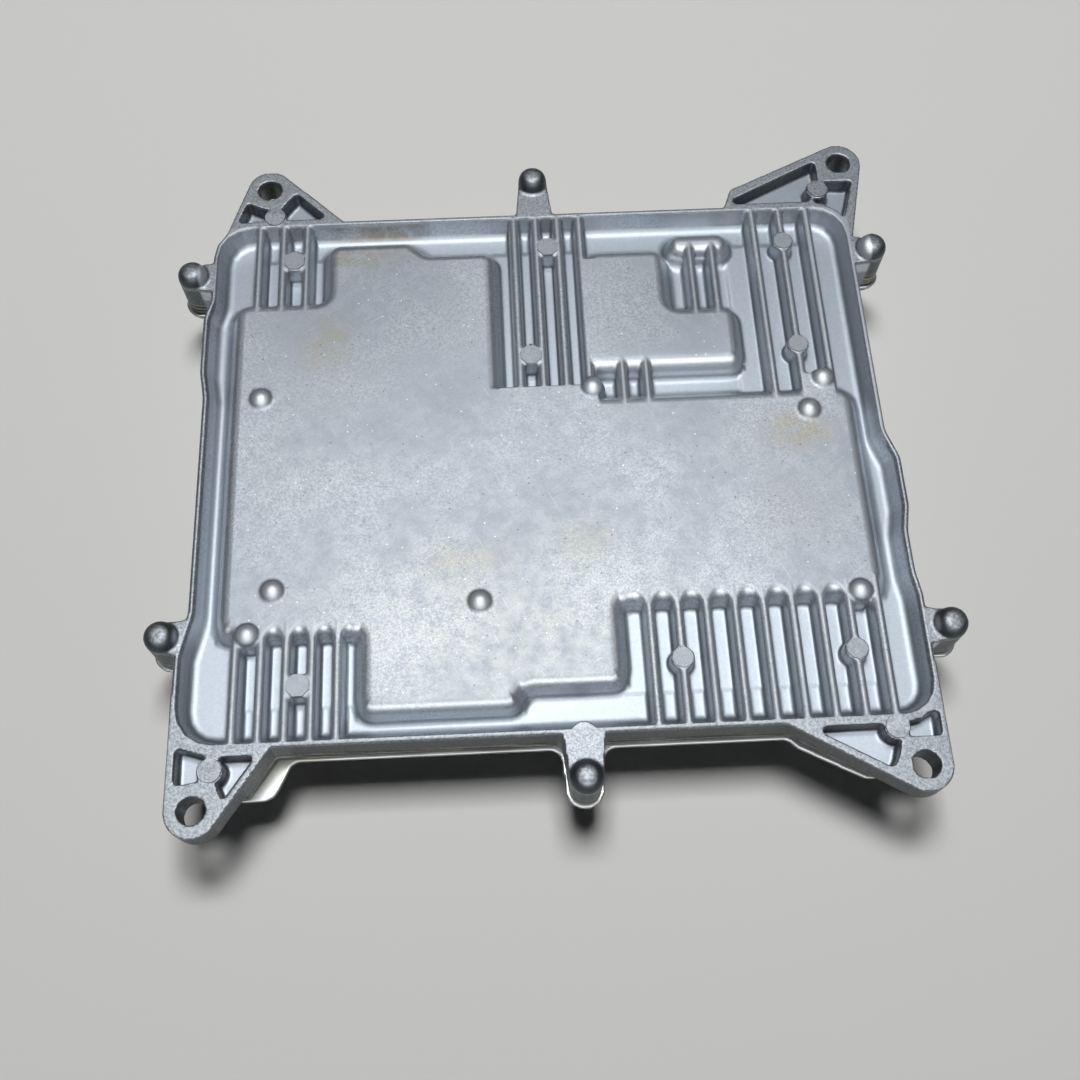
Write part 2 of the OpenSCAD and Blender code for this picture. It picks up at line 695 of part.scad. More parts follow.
module cover_screws() color("#8f9296") for (p = pegs) translate([p.x, p.y, flange_low]) difference() {
    union() {
        translate([0, 0, -cover_head_h])
            cylinder(d1 = cover_head_d - 2 * head_chamfer, d2 = cover_head_d, h = head_chamfer);
        translate([0, 0, head_chamfer - cover_head_h])
            cylinder(d = cover_head_d, h = cover_head_h - head_chamfer);
        cylinder(d = cover_screw_d, h = sheet_t + rim_height - screw_end);
    }
    translate([0, 0, -cover_head_h - 1])
        cylinder(d = cover_head_d * socket_part, h = cover_socket + 1, $fn = 6);
}

function header_corners(grow = 0) =
    let (x = header_l / 2 + grow, y = header_w / 2 + grow)
    [for (p = [[-x, -y], [x, -y], [x, y], [-x, y]]) [p.x, p.y, header_round]];

// Places of one chamber's pins, counted from the header's middle
function pin_places(chamber) = [for (i = [0 : pin_cols - 1], j = [0 : pin_rows - 1])
    [chamber * chamber_pitch + (i - (pin_cols - 1) / 2) * pin_pitch, (j - (pin_rows - 1) / 2) * pin_pitch]];

module pin_set(chamber, low, high) {
    for (p = pin_places(chamber)) translate([p.x - pin_w / 2, p.y - pin_t / 2, low])
        cube([pin_w, pin_t, high - low]);
}

module at_header() {
    translate([header_place.x, header_place.y, 0]) children();
}

module connector_header() color("#1d1e20") at_header() difference() {
    union() {
        prism(0, pan_floor + gasket_t + overlap) polygon(outline(header_corners()));
        prism(pan_floor + gasket_t, board_low) polygon(outline(header_corners(header_flange)));
    }
    for (c = [-1, 0, 1]) {
        difference() {
            prism(-1, chamber_top) translate([c * chamber_pitch - chamber_l / 2, -chamber_w / 2])
                square([chamber_l, chamber_w]);
            for (k = [-1, 1])
                translate([c * chamber_pitch + k * key_places[c + 1], chamber_w / 2 - key_t, key_low])
                    cube([key_w, key_t + 1, chamber_top]);
        }
        pin_set(c, chamber_top - 1, board_low + 1);
    }
}

module header_seal() color("#2c4a3a") at_header() prism(pan_floor, pan_floor + gasket_t) difference() {
    polygon(outline(header_corners(header_flange)));
    polygon(outline(header_corners(clearance)));
}

module left_pins() color("#c8b47a") at_header() pin_set(-1, pin_recess, pin_top);

module middle_pins() color("#c8b47a") at_header() pin_set(0, pin_recess, pin_top);

module right_pins() color("#c8b47a") at_header() pin_set(1, pin_recess, pin_top);

module circuit_board() color("#1f5a3a") difference() {
    prism(board_low, board_high) polygon(outline(body_corners, -board_inset));
    for (p = board_screw_places) translate([p.x, p.y, board_low - 1])
        cylinder(d = board_screw_d + hole_spare, h = board_t + 2);
    at_header() for (c = [-1, 0, 1], p = pin_places(c)) translate([p.x, p.y, board_low - 1])
        cylinder(d = norm([pin_w, pin_t]) + clearance, h = board_t + 2);
}

module board_screws() color("#a0a3a6") for (p = board_screw_places) translate([p.x, p.y, board_low])
    difference() {
        union() {
            translate([0, 0, -board_head_h]) cylinder(d = board_head_d, h = board_head_h);
            cylinder(d = board_screw_d, h = top - board_low - screw_end);
        }
        translate([0, 0, -board_head_h - 1])
            cylinder(d = board_head_d * socket_part, h = board_socket + 1, $fn = 6);
    }

module thermal_pads() color("#8aa0b4") for (b = benches) block(
    b[0] + filler_inset, b[1] + filler_inset, b[2] - filler_inset, b[3] - filler_inset, board_high, bench_low);

// Flat package with a row of leads on each side
module microcontroller() color("#26272a") {
    step = mcu_side / (lead_count + 1);
    chip(mcu_place, [mcu_side, mcu_side, mcu_h]);
    for (k = [0 : 3]) translate([mcu_place.x, mcu_place.y, board_high]) rotate(90 * k)
        for (i = [1 : lead_count])
            translate([mcu_side / 2 - overlap, i * step - mcu_side / 2 - lead_w / 2, 0])
                cube([lead_reach + overlap, lead_w, lead_t]);
}

module flash_memory() color("#2a2b2e") chip(mcu_place - [flash_reach, 0], flash_size);

module crystal() color("#bfc1c4") chip(mcu_place + [0, crystal_reach], crystal_size);

module power_supply_chip() color("#2a2b2e") chip(supply_place, supply_size);

module boost_inductor() color("#44464a") chip(inductor_place, inductor_size);

module supply_choke() color("#3c3a38") chip(choke_place, choke_size);

module buffer_capacitors() color("#9da3ab") for (p = cap_places) translate([p.x, p.y, board_high])
    cylinder(d = cap_d, h = cap_h);

module injector_drivers() color("#232427") for (i = [0 : injector_count - 1])
    chip(injector_first + [i * injector_pitch, 0], driver_size, true);

module ignition_drivers() color("#232427") for (x = ignition_columns, y = ignition_rows)
    chip([x, y], ignition_size, true);

module throttle_bridge() color("#232427") chip(throttle_place, throttle_size, true);

module valve_drivers() color("#232427") for (p = valve_driver_places)
    chip(p, driver_size, true);

module bus_transceivers() color("#2a2b2e") for (i = [0 : transceiver_count - 1])
    chip(transceiver_first + [i * transceiver_pitch, 0], transceiver_size);

module pressure_sensor() color("#c4c6c2") chip(sensor_place, sensor_size);

module ceramic_capacitors() color("#a89878") {
    row_y = mcu_side / 2 + lead_reach + ceramic_size.y;
    for (i = [0 : ceramic_count - 1])
        chip(mcu_place + [(i - (ceramic_count - 1) / 2) * ceramic_pitch, -row_y], ceramic_size);
}

module vent_plug() color("#202124") translate([vent_place.x, vent_place.y, 0]) {
    translate([0, 0, pan_low - vent_cap_t]) cylinder(d = vent_d, h = vent_cap_t);
    translate([0, 0, pan_low - overlap]) cylinder(d = vent_stem_d, h = sheet_t + 2 * overlap);
}

heat_sink_housing();
sheet_cover();
cover_seal();
cover_screws();
connector_header();
header_seal();
left_pins();
middle_pins();
right_pins();
circuit_board();
board_screws();
thermal_pads();
microcontroller();
flash_memory();
crystal();
power_supply_chip();
boost_inductor();
supply_choke();
buffer_capacitors();
injector_drivers();
ignition_drivers();
throttle_bridge();
valve_drivers();
bus_transceivers();
pressure_sensor();
ceramic_capacitors();
vent_plug();
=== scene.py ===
# Engine control unit: soft die-cast forms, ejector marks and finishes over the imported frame
import math

import bmesh
import bpy
import numpy as np
from mathutils import Matrix, Vector


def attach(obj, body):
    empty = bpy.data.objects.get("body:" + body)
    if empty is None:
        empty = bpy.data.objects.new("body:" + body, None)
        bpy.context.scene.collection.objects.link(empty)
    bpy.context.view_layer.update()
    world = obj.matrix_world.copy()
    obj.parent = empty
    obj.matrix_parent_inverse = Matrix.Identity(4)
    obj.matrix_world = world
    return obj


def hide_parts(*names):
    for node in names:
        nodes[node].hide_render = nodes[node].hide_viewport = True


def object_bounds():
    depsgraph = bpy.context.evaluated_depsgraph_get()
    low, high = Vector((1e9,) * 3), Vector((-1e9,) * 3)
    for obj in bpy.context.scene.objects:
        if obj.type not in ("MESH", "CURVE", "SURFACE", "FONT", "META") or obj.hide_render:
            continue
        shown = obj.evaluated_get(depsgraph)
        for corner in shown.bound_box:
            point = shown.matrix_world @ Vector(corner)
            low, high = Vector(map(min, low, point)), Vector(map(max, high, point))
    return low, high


mm = 0.001
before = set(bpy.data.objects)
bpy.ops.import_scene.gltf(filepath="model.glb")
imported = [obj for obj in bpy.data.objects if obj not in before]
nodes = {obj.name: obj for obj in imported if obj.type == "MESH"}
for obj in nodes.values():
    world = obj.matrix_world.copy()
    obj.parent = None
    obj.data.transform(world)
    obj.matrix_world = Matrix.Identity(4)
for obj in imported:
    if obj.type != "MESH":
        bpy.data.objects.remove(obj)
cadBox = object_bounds()
print("frame loaded,", len(nodes), "nodes")


def toLinear(code):
    # sRGB hex to the linear values that shaders take
    parts = [int(code[i:i + 2], 16) / 255 for i in (0, 2, 4)]
    return tuple(p / 12.92 if p <= 0.04045 else ((p + 0.055) / 1.055) ** 2.4 for p in parts) + (1.0,)


def addNode(tree, kind, feeds=None, out=0, **settings):
    # one node with its settings, fed by values or by other nodes' sockets; gives one of its own sockets
    node = tree.nodes.new(kind)
    for key, value in settings.items():
        setattr(node, key, value)
    for key, value in (feeds or {}).items():
        if isinstance(value, bpy.types.NodeSocket):
            tree.links.new(value, node.inputs[key])
        else:
            node.inputs[key].default_value = value
    return node.outputs[out] if len(node.outputs) else None


def addObject(name, data):
    made = bpy.data.objects.new(name, data)
    bpy.context.scene.collection.objects.link(made)
    return made


# Camera and light

# places in mm, roll in degrees
view = {"from": (-10.2, -149.9, 316.3), "at": (-3.1, -25.5, 28.0), "roll": 0.59,
        "lens": 41.5, "sensor": 36.0}


def addCamera():
    data = bpy.data.cameras.new("camera")
    data.sensor_width = view["sensor"]
    data.lens = view["lens"]
    camera = addObject("camera", data)
    place = Vector(view["from"]) * mm
    look = (Vector(view["at"]) * mm - place).normalized()
    turn = look.to_track_quat("-Z", "Y").to_matrix() @ Matrix.Rotation(math.radians(view["roll"]), 3, "Z")
    camera.matrix_world = Matrix.Translation(place) @ turn.to_4x4()
    bpy.context.scene.camera = camera


studio = {
    # overhead and a little behind, so that the shadow falls to the front
    "key": {"at": (0, 330, 1580), "size": (540, 460), "power": 19.0, "onDiffuse": True},
    # wide panel in front that only the metal mirrors, for the rounded edges
    "front": {"at": (0, -795, 1300), "size": (1800, 1730), "power": 26.0, "onDiffuse": False},
    "aim": (0, 0, 28),
    # dim room that metal mirrors, as (height, colour); matt surfaces take only a little of it, so the
    # shadow stays deep
    "sky": ((0.0, "2a2b2c"), (0.35, "46484a"), (0.75, "5a5d60"), (1.0, "64676a")),
    "onMatt": 0.03}


def addLights():
    aim = Vector(studio["aim"]) * mm
    for name in ("key", "front"):
        lamp = studio[name]
        data = bpy.data.lights.new(name + "Softbox", "AREA")
        data.shape = "RECTANGLE"
        data.size = lamp["size"][0] * mm
        data.size_y = lamp["size"][1] * mm
        data.energy = lamp["power"]
        softbox = addObject(name + "Softbox", data)
        place = Vector(lamp["at"]) * mm
        turn = (aim - place).to_track_quat("-Z", "Y").to_matrix().to_4x4()
        softbox.matrix_world = Matrix.Translation(place) @ turn
        softbox.visible_diffuse = lamp["onDiffuse"]


def addRoom():
    world = bpy.data.worlds.new("softRoom")
    world.use_nodes = True
    tree = world.node_tree
    way = addNode(tree, "ShaderNodeTexCoord", out="Generated")
    up = addNode(tree, "ShaderNodeSeparateXYZ", {0: way}, "Z")
    below, code = studio["sky"][0]
    colour = toLinear(code)
    for height, code in studio["sky"][1:]:
        share = addNode(tree, "ShaderNodeMapRange", {0: up, 1: below, 2: height})
        above = toLinear(code)
        colour = addNode(tree, "ShaderNodeMix", {0: share, 6: colour, 7: above}, 2, data_type="RGBA")
        below = height
    matt = addNode(tree, "ShaderNodeLightPath", out="Is Diffuse Ray")
    strength = addNode(tree, "ShaderNodeMapRange", {0: matt, 3: 1.0, 4: studio["onMatt"]})
    tree.links.new(colour, tree.nodes["Background"].inputs["Color"])
    tree.links.new(strength, tree.nodes["Background"].inputs["Strength"])
    bpy.context.scene.world = world


floorSpec = {"size": 6.0, "colour": "e6e6e4", "roughness": 0.75, "gloss": 0.0}


def addFloor():
    mesh = bpy.data.meshes.new("floor")
    half = floorSpec["size"] / 2
    low = cadBox[0][2]
    mesh.from_pydata([(-half, -half, low), (half, -half, low), (half, half, low), (-half, half, low)],
                     [], [(0, 1, 2, 3)])
    material = bpy.data.materials.new("paleFloor")
    material.use_nodes = True
    shader = material.node_tree.nodes["Principled BSDF"]
    shader.inputs["Base Color"].default_value = toLinear(floorSpec["colour"])
    shader.inputs["Roughness"].default_value = floorSpec["roughness"]
    shader.inputs["Specular IOR Level"].default_value = floorSpec["gloss"]
    mesh.materials.append(material)
    floor = addObject("floor", mesh)


addCamera()
addLights()
addRoom()
addFloor()
bpy.context.scene.view_settings.view_transform = "Standard"
print("camera, light and floor set")


# Materials

soft = {"interpolation_type": "SMOOTHSTEP"}  # for every Map Range that fades in and out


def makeMaterial(name, look, *specs):
    # look is the material's own function, which gives what its shader takes
    material = bpy.data.materials.new(name)
    material.use_nodes = True
    tree = material.node_tree
    tree.nodes.clear()
    place = addNode(tree, "ShaderNodeTexCoord", out="Object")
    inMm = addNode(tree, "ShaderNodeVectorMath", {0: place, "Scale": 1 / mm}, operation="SCALE")
    shader = addNode(tree, "ShaderNodeBsdfPrincipled", look(tree, inMm, *specs))
    addNode(tree, "ShaderNodeOutputMaterial", {"Surface": shader})
    return material


def addLayer(tree, under, over, *shares):
    # one colour over another, by as much as all its shares multiplied
    share = shares[0]
    for more in shares[1:]:
        share = addNode(tree, "ShaderNodeMath", {0: share, 1: more}, operation="MULTIPLY")
    return addNode(tree, "ShaderNodeMix", {0: share, 6: under, 7: over}, 2, data_type="RGBA")


cast = {
    "tones": {"skin": "989da3", "dull": "8b9198", "floor": "90979f", "wall": "c0c5cb", "ridge": "868b91",
              "rim": "7d8287", "creaseShade": "75797f", "scratchAndEdgeHighlight": "c9ced4", "side": "606467", "streak": "a09a8d",
              "low": "2b2c2c", "pad": "83888d", "burn": "877357", "paintedGlint": "f4f6f8", "speck": "4a4d51",
              "peg": "54585c", "pegTop": "82878c", "seamShade": "26282a"},
    # heights of the plateau, of the channels' floors and of the joint with the cover, mm
    "top": 28.0, "floorZ": 22.0, "base": 16.0,
    # half length and half width inside the rim, and the middle of the burn marks along the back, mm
    "rimIn": (88.8, 74.2), "burnAt": -45.0,
    # noises as (size in mm, detail, roughness)
    "noises": {"cloud": (30.0, 4.0, 0.5), "mottle": (4.0, 5.0, 0.65), "pits": (0.9, 3.0, 0.5),
               "grain": (0.45, 2.0, 0.5)},
    # streaks that the die drew along the sides, and handling scratches in two directions, mm and radians
    "streakSize": (16.0, 16.0, 0.5), "scratchSize": (9.0, 0.3, 1.0), "scratchTurns": (0.6, -1.1),
    "scratchRange": (0.71, 0.75), "scratchAmount": 0.28,
    # how much the grain darkens and lightens: from cloud to cloud on the plateau, and elsewhere
    "cloudRange": (0.4, 0.62), "fieldGrain": (0.04, 0.17), "floorGrain": 0.05,
    "dieGrain": {"rim": 0.27, "ridge": 0.18}, "grainRange": (0.34, 0.66),
    # dots as (tone, spacing in mm, share of the cells left empty, amount), and where in a cell they fade
    # out:
    # painted glints and dark specks
    "dots": (("paintedGlint", 1.3, 0.94, 0.5), ("speck", 1.7, 0.86, 0.55)), "dotRange": (0.2, 0.08),
    # lighter tops on the pegs, least and most: bare worn metal and a painted highlight
    "bareRange": (0.36, 0.6), "bare": (0.3, 1.0),
    "roughness": {"wall": 0.46, "deep": 0.5, "rim": 0.52, "peg": 0.5}, "skinRange": (0.3, 0.7),
    "skinRoughness": (0.6, 0.55),
    # depths in mm and strengths of the bumps, with the grain weaker on smooth floors
    "waveDepth": 0.03, "waveStrength": 0.6, "pitDepth": 0.04, "pitStrength": (0.8, 0.1)}

# where each part of the finish lies: a measure, its value where there is none of it and where there is all
castMasks = {
    "level": ("aboveTop", -0.5, -0.1), "high": ("aboveTop", -1.5, -0.8),
    "belowTop": ("aboveTop", -0.5, -1.2), "burnZ": ("aboveTop", -0.9, -1.6),
    "domeTop": ("aboveTop", 0.2, 0.9), "raised": ("aboveTop", 0.1, 0.8), "pegTop": ("aboveTop", 2.9, 3.4),
    "deep": ("aboveFloor", 1.8, 0.4), "lowDown": ("aboveFloor", 3.0, 2.0),
    "foot": ("aboveBase", 5.5, 3.0), "seamShade": ("aboveBase", 0.7, 0.35),
    "rimEdge": ("pastRim", -0.3, 0.3), "wellOut": ("pastRim", 4.2, 5.2), "outside": ("pastRim", 4.0, 5.0),
    "pastEnds": ("pastY", 0.9, 1.4), "burnX": ("fromBurn", 16.0, 8.0), "burnY": ("y", 71.6, 72.6),
    "faceUp": ("normalZ", 0.4, 0.8), "faceFront": ("normalY", -0.3, -0.7),
    "ridge": ("bend", 0.3, 0.46), "rubbedLitEdge": ("bend", 0.35, 0.7), "creaseShade": ("bend", -0.1, -0.35),
    "mottled": ("blend", 0.34, 0.66), "ragged": ("mottle", 0.3, 0.62), "lined": ("lines", 0.46, 0.6)}
castJoined = (
    ("rimTop", "MULTIPLY", "rimEdge", "high"),
    ("beyond", "MAXIMUM", "wellOut", "pastEnds"),
    ("pocket", "MULTIPLY", "faceUp", "lowDown"),  # level floors low down, also those in the lugs
    ("smooth", "MAXIMUM", "deep", "pocket"),
    ("lugs", "SUBTRACT", "beyond", "pocket"),
    ("rim", "MAXIMUM", "rimTop", "lugs"),
    ("field", "SUBTRACT", "level", "rim"),
    ("dome", "SUBTRACT", "domeTop", "outside"),
    ("peg", "MULTIPLY", "outside", "raised"))

# layers as (tone, amount, masks), first those under the grain
castUnder = (
    ("ridge", 0.7, "ridge"),  # ribs, rim and lugs stayed as they left the die, duller than the fields
    ("floor", 1.0, "pocket"),
    ("rim", 0.85, "rim"),
    # painted shade in concave corners and creases
    ("creaseShade", 0.5, "creaseShade"),
    ("scratchAndEdgeHighlight", 0.6, "rubbedLitEdge", "rim"),  # rim and lug edges lighter: rubbed wear and a painted highlight
    ("side", 0.9, "faceFront", "belowTop", "beyond"),  # painted shade on sides facing the front, which mirror the shadowed floor
    ("pad", 1.0, "pad"),
    ("burn", 0.55, "burnX", "burnY", "burnZ", "ragged"))  # on both faces of the back rim, below its top
castOver = (
    ("wall", 0.85, "dome"),  # domes inside the rim in the lighter tone: painted highlight
    ("peg", 1.0, "peg"),  # pegs, which stand outside the rim and above it: painted shade, with lighter tops
    ("seamShade", 0.9, "seamShade"))  # painted shade of the gap where the cover meets the casting

# stains on the plateau, mm, fading out between two shares of their reach; the small tinted ones are release
# stains
# the first two, broad and darker, are painted shade where the reflection falls off towards the back
stainsAndPaintedFalloff = ({"at": (-50, 55), "reach": (48, 44), "tone": "767c84", "amount": 0.55},
          {"at": (34, 44), "reach": (30, 26), "tone": "767c84", "amount": 0.55},
          {"at": (-50, 63), "reach": (16, 6), "tone": "858170", "amount": 0.55},
          {"at": (-58, 34), "reach": (9, 12), "tone": "8c8878", "amount": 0.5},
          {"at": (66, 3), "reach": (12, 8), "tone": "8b8672", "amount": 0.6},
          {"at": (62, -19), "reach": (14, 12), "tone": "8a8c8e", "amount": 0.5},
          {"at": (-22, -30), "reach": (14, 7), "tone": "8f8c7e", "amount": 0.5},
          {"at": (8, -26), "reach": (10, 8), "tone": "94907f", "amount": 0.4},
          # broad and lighter: the front of the plateau made lighter
          {"at": (-15, -48), "reach": (52, 24), "tone": "a2a5a2", "amount": 0.6})
patchRange = (1.2, 0.2)


def castMeasures(tree, inMm):
    # what the masks of the casting are measured by: heights, distances, directions, bends and noises
    axes = addNode(tree, "ShaderNodeSeparateXYZ", {0: inMm}).node.outputs
    normal = addNode(tree, "ShaderNodeNewGeometry", out="Normal")
    faces = addNode(tree, "ShaderNodeSeparateXYZ", {0: normal}).node.outputs
    measures = {"y": axes["Y"], "normalY": faces["Y"], "normalZ": faces["Z"]}
    for name, zero in (("aboveTop", "top"), ("aboveFloor", "floorZ"), ("aboveBase", "base")):
        measures[name] = addNode(tree, "ShaderNodeMath", {0: axes["Z"], 1: cast[zero]}, operation="SUBTRACT")
    for axis, inner in zip("XY", cast["rimIn"]):
        side = addNode(tree, "ShaderNodeMath", {0: axes[axis]}, operation="ABSOLUTE")
        measures["past" + axis] = addNode(tree, "ShaderNodeMath", {0: side, 1: inner}, operation="SUBTRACT")
    feeds = {0: measures["pastX"], 1: measures["pastY"]}
    measures["pastRim"] = addNode(tree, "ShaderNodeMath", feeds, operation="MAXIMUM")
    along = addNode(tree, "ShaderNodeMath", {0: axes["X"], 1: cast["burnAt"]}, operation="SUBTRACT")
    measures["fromBurn"] = addNode(tree, "ShaderNodeMath", {0: along}, operation="ABSOLUTE")
    measures["bend"] = addNode(tree, "ShaderNodeAttribute", out="Fac", attribute_name="bend")
    for name, (size, detail, roughness) in cast["noises"].items():
        feeds = {"Vector": inMm, "Scale": 1 / size, "Detail": detail, "Roughness": roughness}
        measures[name] = addNode(tree, "ShaderNodeTexNoise", feeds)
    measures["blend"] = addNode(tree, "ShaderNodeMix", {0: 0.5, 2: measures["cloud"], 3: measures["mottle"]})
    drawn = addNode(tree, "ShaderNodeMapping", {0: inMm, "Scale": [1 / size for size in cast["streakSize"]]})
    measures["lines"] = addNode(tree, "ShaderNodeTexNoise", {"Vector": drawn, "Scale": 1.0, "Detail": 2.0})
    return measures


def castGrain(tree, measures, masks):
    # factor round 1 for the colour: faint on smooth floors, strong on the as-cast rims, lugs and ribs
    low, high = cast["cloudRange"]
    least, most = cast["fieldGrain"]
    cloud = measures["cloud"]
    amount = addNode(tree, "ShaderNodeMapRange", {0: cloud, 1: low, 2: high, 3: least, 4: most}, **soft)
    amount = addNode(tree, "ShaderNodeMix", {0: masks["smooth"], 2: amount, 3: cast["floorGrain"]})
    for name, share in cast["dieGrain"].items():
        coarse = addNode(tree, "ShaderNodeMath", {0: masks[name], 1: share}, operation="MULTIPLY")
        amount = addNode(tree, "ShaderNodeMath", {0: amount, 1: coarse}, operation="MAXIMUM")
    both = addNode(tree, "ShaderNodeMix", {0: 0.5, 2: measures["pits"], 3: measures["grain"]})
    low, high = cast["grainRange"]
    swing = addNode(tree, "ShaderNodeMapRange", {0: both, 1: low, 2: high, 3: -1.0, 4: 1.0}, **soft)
    return addNode(tree, "ShaderNodeMath", {0: swing, 1: amount, 2: 1.0}, operation="MULTIPLY_ADD")


def dieCastAluminium(tree, inMm):
    # as-cast aluminium: a dull grainy skin, smoother floors, edges lighter from wear and a painted
    # highlight, painted shade in creases, on sides facing the front, on the pegs and in the gap at the
    # cover, a lighter tone on walls, rounds and domes as painted highlight, painted glints, dark specks and
    # faint release stains, with broad patches painted darker at the back and lighter at the front
    tones = {name: toLinear(code) for name, code in cast["tones"].items()}
    measures = castMeasures(tree, inMm)
    masks = {"pad": addNode(tree, "ShaderNodeAttribute", out="Fac", attribute_name="pad")}
    for name, (measure, none, full) in castMasks.items():
        masks[name] = addNode(tree, "ShaderNodeMapRange", {0: measures[measure], 1: none, 2: full}, **soft)
    for name, operation, first, second in castJoined:
        feeds = {0: masks[first], 1: masks[second]}
        masks[name] = addNode(tree, "ShaderNodeMath", feeds, operation=operation)

    # tones that are patterns themselves
    tones["skin"] = addLayer(tree, tones["dull"], tones["skin"], masks["mottled"])
    # painted shade on the sides facing the front, turning towards the foot into drawn streaks of near black
    # and brown
    streaked = addLayer(tree, tones["low"], tones["streak"], masks["lined"])
    tones["side"] = addLayer(tree, tones["side"], streaked, masks["foot"])
    (low, high), (least, most) = cast["bareRange"], cast["bare"]
    pits = measures["pits"]
    bare = addNode(tree, "ShaderNodeMapRange", {0: pits, 1: low, 2: high, 3: least, 4: most}, **soft)
    tones["peg"] = addLayer(tree, tones["peg"], tones["pegTop"], masks["pegTop"], bare)

    # walls and rounds in a lighter tone, a painted highlight that brightens the bands on the rounded edges
    colour = addLayer(tree, tones["wall"], tones["skin"], masks["level"])
    colour = addLayer(tree, colour, tones["floor"], masks["deep"])
    flat = addNode(tree, "ShaderNodeVectorMath", {0: inMm, 1: (1.0, 1.0, 0.0)}, operation="MULTIPLY")
    # stains, and broad patches painted darker at the back and lighter at the front
    for patch in stainsAndPaintedFalloff:
        middle = patch["at"] + (0.0,)
        reach = patch["reach"] + (1.0,)
        away = addNode(tree, "ShaderNodeVectorMath", {0: flat, 1: middle}, operation="SUBTRACT")
        scaled = addNode(tree, "ShaderNodeVectorMath", {0: away, 1: reach}, operation="DIVIDE")
        far = addNode(tree, "ShaderNodeVectorMath", {0: scaled}, "Value", operation="LENGTH")
        near = addNode(tree, "ShaderNodeMapRange", {0: far, 1: patchRange[0], 2: patchRange[1]}, **soft)
        colour = addLayer(tree, colour, toLinear(patch["tone"]), patch["amount"], near, masks["ragged"],
                          masks["level"])
    for tone, amount, *where in castUnder:
        colour = addLayer(tree, colour, tones[tone], amount, *[masks[name] for name in where])
    none, full = cast["scratchRange"]
    for turn in cast["scratchTurns"]:
        across = addNode(tree, "ShaderNodeMapping", {0: inMm, "Rotation": (0.0, 0.0, turn),
                                                     "Scale": cast["scratchSize"]}, vector_type="TEXTURE")
        streak = addNode(tree, "ShaderNodeTexNoise", {"Vector": across, "Scale": 1.0, "Detail": 1.0})
        thin = addNode(tree, "ShaderNodeMapRange", {0: streak, 1: none, 2: full}, **soft)
        colour = addLayer(tree, colour, tones["scratchAndEdgeHighlight"], cast["scratchAmount"], thin, masks["level"])
    grain = castGrain(tree, measures, masks)
    colour = addNode(tree, "ShaderNodeMix", {0: 1.0, 6: colour, 7: grain}, 2, data_type="RGBA",
                     blend_type="MULTIPLY")
    # painted glints and dark specks on the fields
    none, full = cast["dotRange"]
    for tone, spacing, empty, amount in cast["dots"]:
        dots = addNode(tree, "ShaderNodeTexVoronoi", {"Vector": inMm, "Scale": 1 / spacing}).node.outputs
        chance = addNode(tree, "ShaderNodeSeparateColor", {0: dots["Color"]})
        chosen = addNode(tree, "ShaderNodeMath", {0: chance, 1: empty}, operation="GREATER_THAN")
        near = addNode(tree, "ShaderNodeMapRange", {0: dots["Distance"], 1: none, 2: full}, **soft)
        colour = addLayer(tree, colour, tones[tone], amount, near, chosen, masks["field"])
    for tone, amount, *where in castOver:
        colour = addLayer(tree, colour, tones[tone], amount, *[masks[name] for name in where])

    (low, high), (least, most) = cast["skinRange"], cast["skinRoughness"]
    blend = measures["blend"]
    satin = addNode(tree, "ShaderNodeMapRange", {0: blend, 1: low, 2: high, 3: least, 4: most}, **soft)
    rough = addNode(tree, "ShaderNodeMix", {0: masks["level"], 2: cast["roughness"]["wall"], 3: satin})
    for name in ("deep", "rim", "peg"):
        rough = addNode(tree, "ShaderNodeMix", {0: masks[name], 2: rough, 3: cast["roughness"][name]})
    wave = addNode(tree, "ShaderNodeBump", {"Height": measures["mottle"], "Strength": cast["waveStrength"],
                                            "Distance": cast["waveDepth"] * mm})
    onSkin, onFloor = cast["pitStrength"]
    strength = addNode(tree, "ShaderNodeMix", {0: masks["smooth"], 2: onSkin, 3: onFloor})
    pit = addNode(tree, "ShaderNodeBump", {"Height": measures["grain"], "Strength": strength,
                                           "Distance": cast["pitDepth"] * mm, "Normal": wave})
    return {"Base Color": colour, "Roughness": rough, "Metallic": 1.0, "Normal": pit}


# cloud, line and depth in mm
sheet = {"pale": "a9adb0", "dull": "94958f", "dullRange": (0.45, 0.7), "cloud": 18.0,
         "line": (14.0, 0.35, 3.0), "lineRange": (0.3, 0.7), "roughness": (0.3, 0.42),
         "strength": 0.3, "depth": 0.01}


def drawnAluminiumSheet(tree, inMm):
    # rolled and drawn sheet: pale satin metal, clouded, with faint rolling lines in its sheen
    stretched = addNode(tree, "ShaderNodeMapping", {0: inMm, "Scale": [1 / size for size in sheet["line"]]})
    lines = addNode(tree, "ShaderNodeTexNoise", {"Vector": stretched, "Scale": 1.0, "Detail": 3.0})
    cloud = addNode(tree, "ShaderNodeTexNoise", {"Vector": inMm, "Scale": 1 / sheet["cloud"], "Detail": 4.0})
    none, full = sheet["dullRange"]
    clouded = addNode(tree, "ShaderNodeMapRange", {0: cloud, 1: none, 2: full}, **soft)
    colour = addLayer(tree, toLinear(sheet["pale"]), toLinear(sheet["dull"]), clouded)
    (low, high), (least, most) = sheet["lineRange"], sheet["roughness"]
    rough = addNode(tree, "ShaderNodeMapRange", {0: lines, 1: low, 2: high, 3: least, 4: most}, **soft)
    bump = addNode(tree, "ShaderNodeBump", {"Height": lines, "Strength": sheet["strength"],
                                            "Distance": sheet["depth"] * mm})
    return {"Base Color": colour, "Roughness": rough, "Metallic": 1.0, "Normal": bump}


# range of the noise over which a plain finish goes from dark to light and from one roughness to the other
plainSpec = {"toneRange": (0.35, 0.65), "roughRange": (0.3, 0.7), "strength": 0.5}


